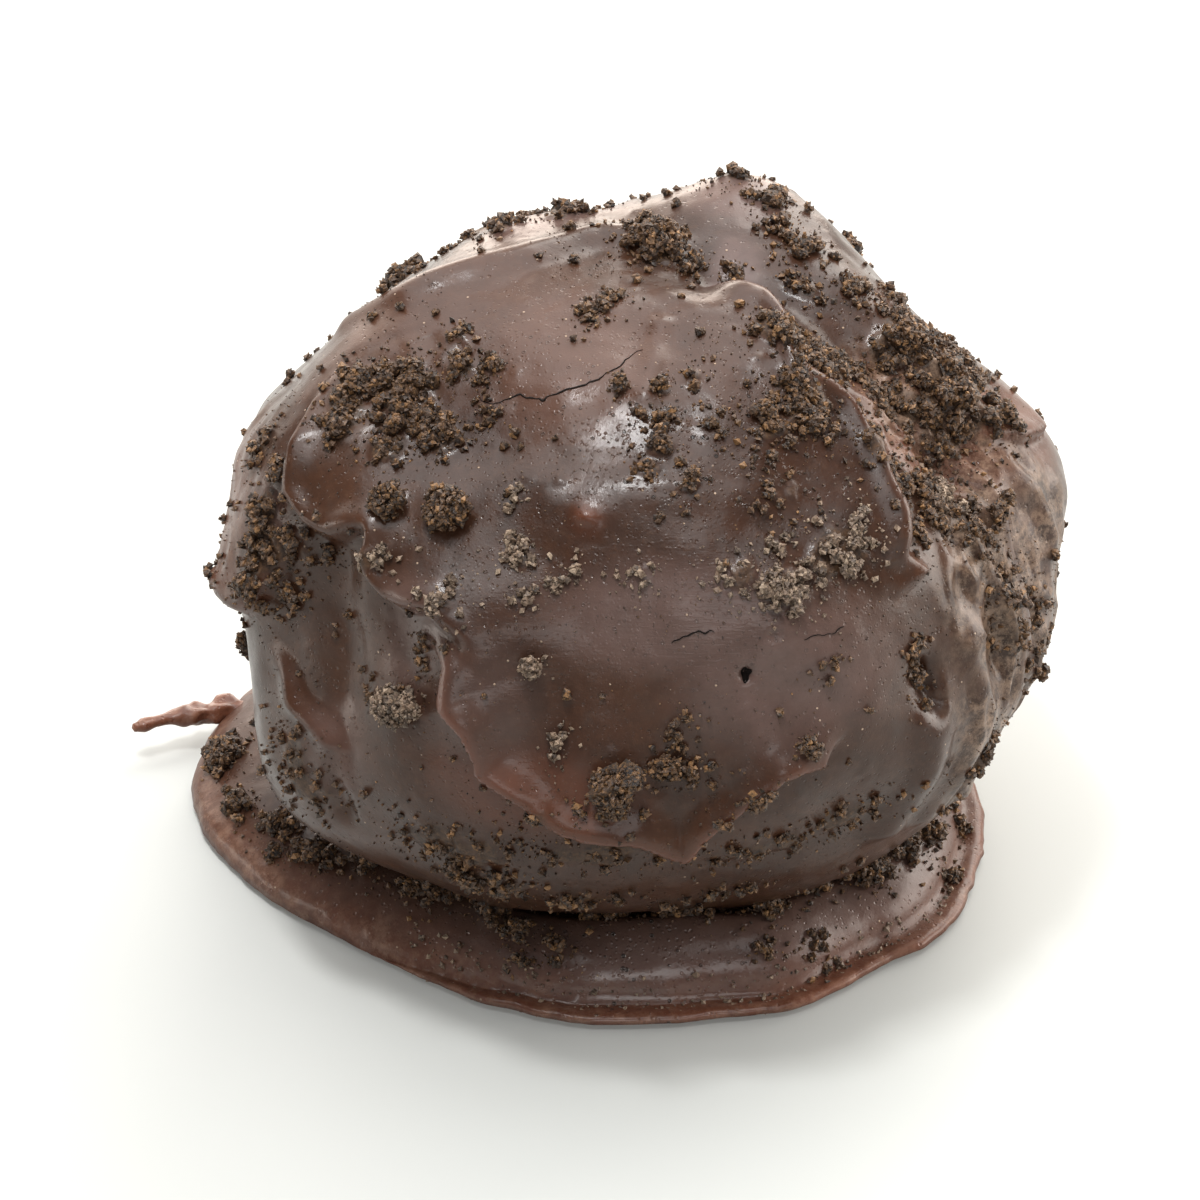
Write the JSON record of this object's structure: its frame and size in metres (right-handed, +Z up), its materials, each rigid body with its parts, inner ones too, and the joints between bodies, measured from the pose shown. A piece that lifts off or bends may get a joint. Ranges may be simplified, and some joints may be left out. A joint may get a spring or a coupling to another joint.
{
  "type": "chocolate truffle",
  "caption": "Lumpy hand dipped dark chocolate truffle with crushed cookie crumbs, on a spread foot of set chocolate.",
  "frame": {"origin": "middle of the flat underside, on the surface that the truffle stands on", "axes": "+Z up, -Y towards the front, +X to the right seen from the front"},
  "size_m": [0.0395, 0.0375, 0.0292],
  "materials": {
    "dark_chocolate": "satin set dark chocolate coating",
    "cookie_crumb": "matt crushed chocolate cookie"
  },
  "bodies": {
    "root": {"truffle": "dark_chocolate"}
  },
  "joints": []
}
